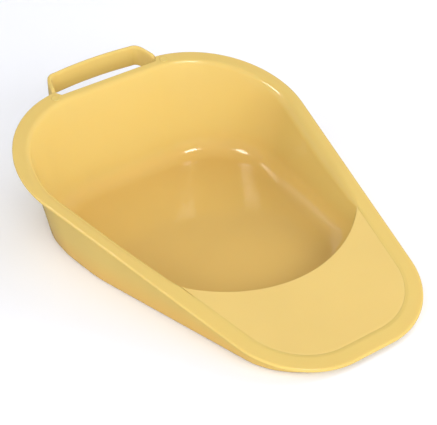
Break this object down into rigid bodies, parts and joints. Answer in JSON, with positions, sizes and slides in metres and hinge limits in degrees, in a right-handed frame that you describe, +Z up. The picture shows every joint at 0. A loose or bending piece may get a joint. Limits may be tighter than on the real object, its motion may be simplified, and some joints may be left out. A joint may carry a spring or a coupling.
{
  "type": "bedpan",
  "caption": "Wedge-shaped fracture bedpan: a deep rear basin that narrows to a thin seat deck at the front, with a flat sloping rim and a strap handle at the back.",
  "frame": {"origin": "middle of the overall footprint, on the surface the pan rests on", "axes": "+Z up, +Y towards the handle, -Y towards the thin front lip, X across the pan"},
  "size_m": [0.239, 0.3388, 0.086],
  "materials": {
    "pan_plastic": "smooth gloss moulded polypropylene, warm yellow",
    "deck_plastic": "smooth gloss moulded polypropylene, warm yellow",
    "handle_plastic": "smooth gloss moulded polypropylene, warm yellow",
    "pin_plastic": "smooth gloss moulded polypropylene, warm yellow"
  },
  "bodies": {
    "root": {"pan_body": "pan_plastic", "seat_deck": "deck_plastic", "carry_handle": "handle_plastic", "handle_pin_left": "pin_plastic", "handle_pin_right": "pin_plastic"}
  },
  "joints": []
}
